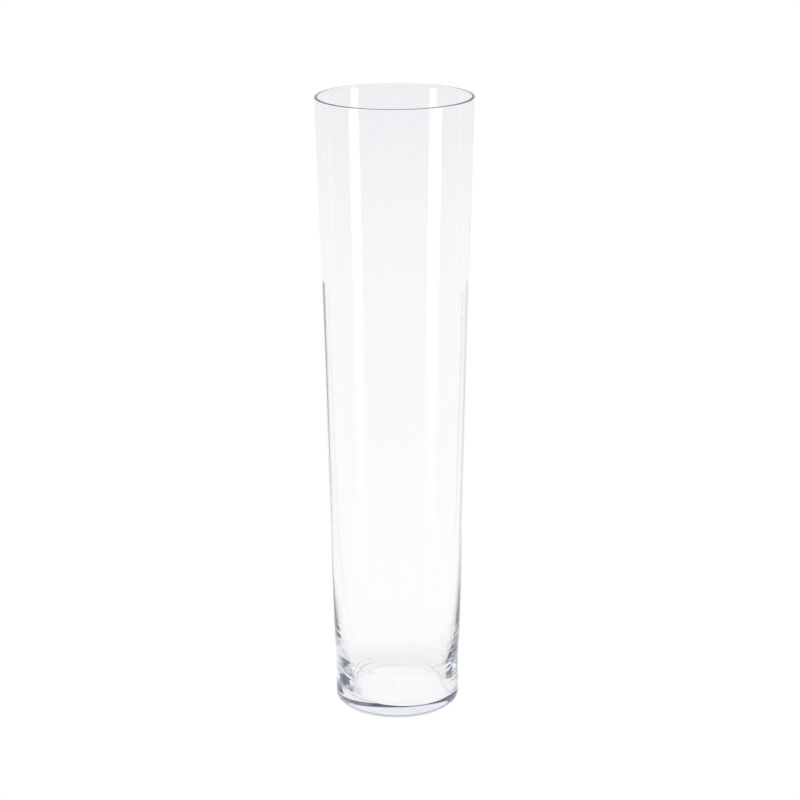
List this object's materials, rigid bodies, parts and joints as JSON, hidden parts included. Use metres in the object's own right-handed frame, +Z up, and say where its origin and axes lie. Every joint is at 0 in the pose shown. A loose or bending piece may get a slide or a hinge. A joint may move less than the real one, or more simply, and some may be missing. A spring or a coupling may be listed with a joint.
{
  "type": "tapered glass vase",
  "caption": "Tall slim flower vase of clear glass that widens evenly from a thick heavy foot to an open, rounded mouth.",
  "frame": {"origin": "centre of the foot, on the plane that the vase stands on", "axes": "+Z up along the vase's axis, towards the mouth; +X and +Y are alike, because the vase is round"},
  "size_m": [0.172, 0.172, 0.7],
  "materials": {
    "clear_glass": "clear soda-lime glass, fire-polished, smooth and glossy, with a faint blue-grey cast in its thick foot"
  },
  "bodies": {
    "root": {"lip": "clear_glass", "sidewall": "clear_glass", "heel": "clear_glass", "bottom": "clear_glass", "bearing_ring": "clear_glass"}
  },
  "joints": []
}
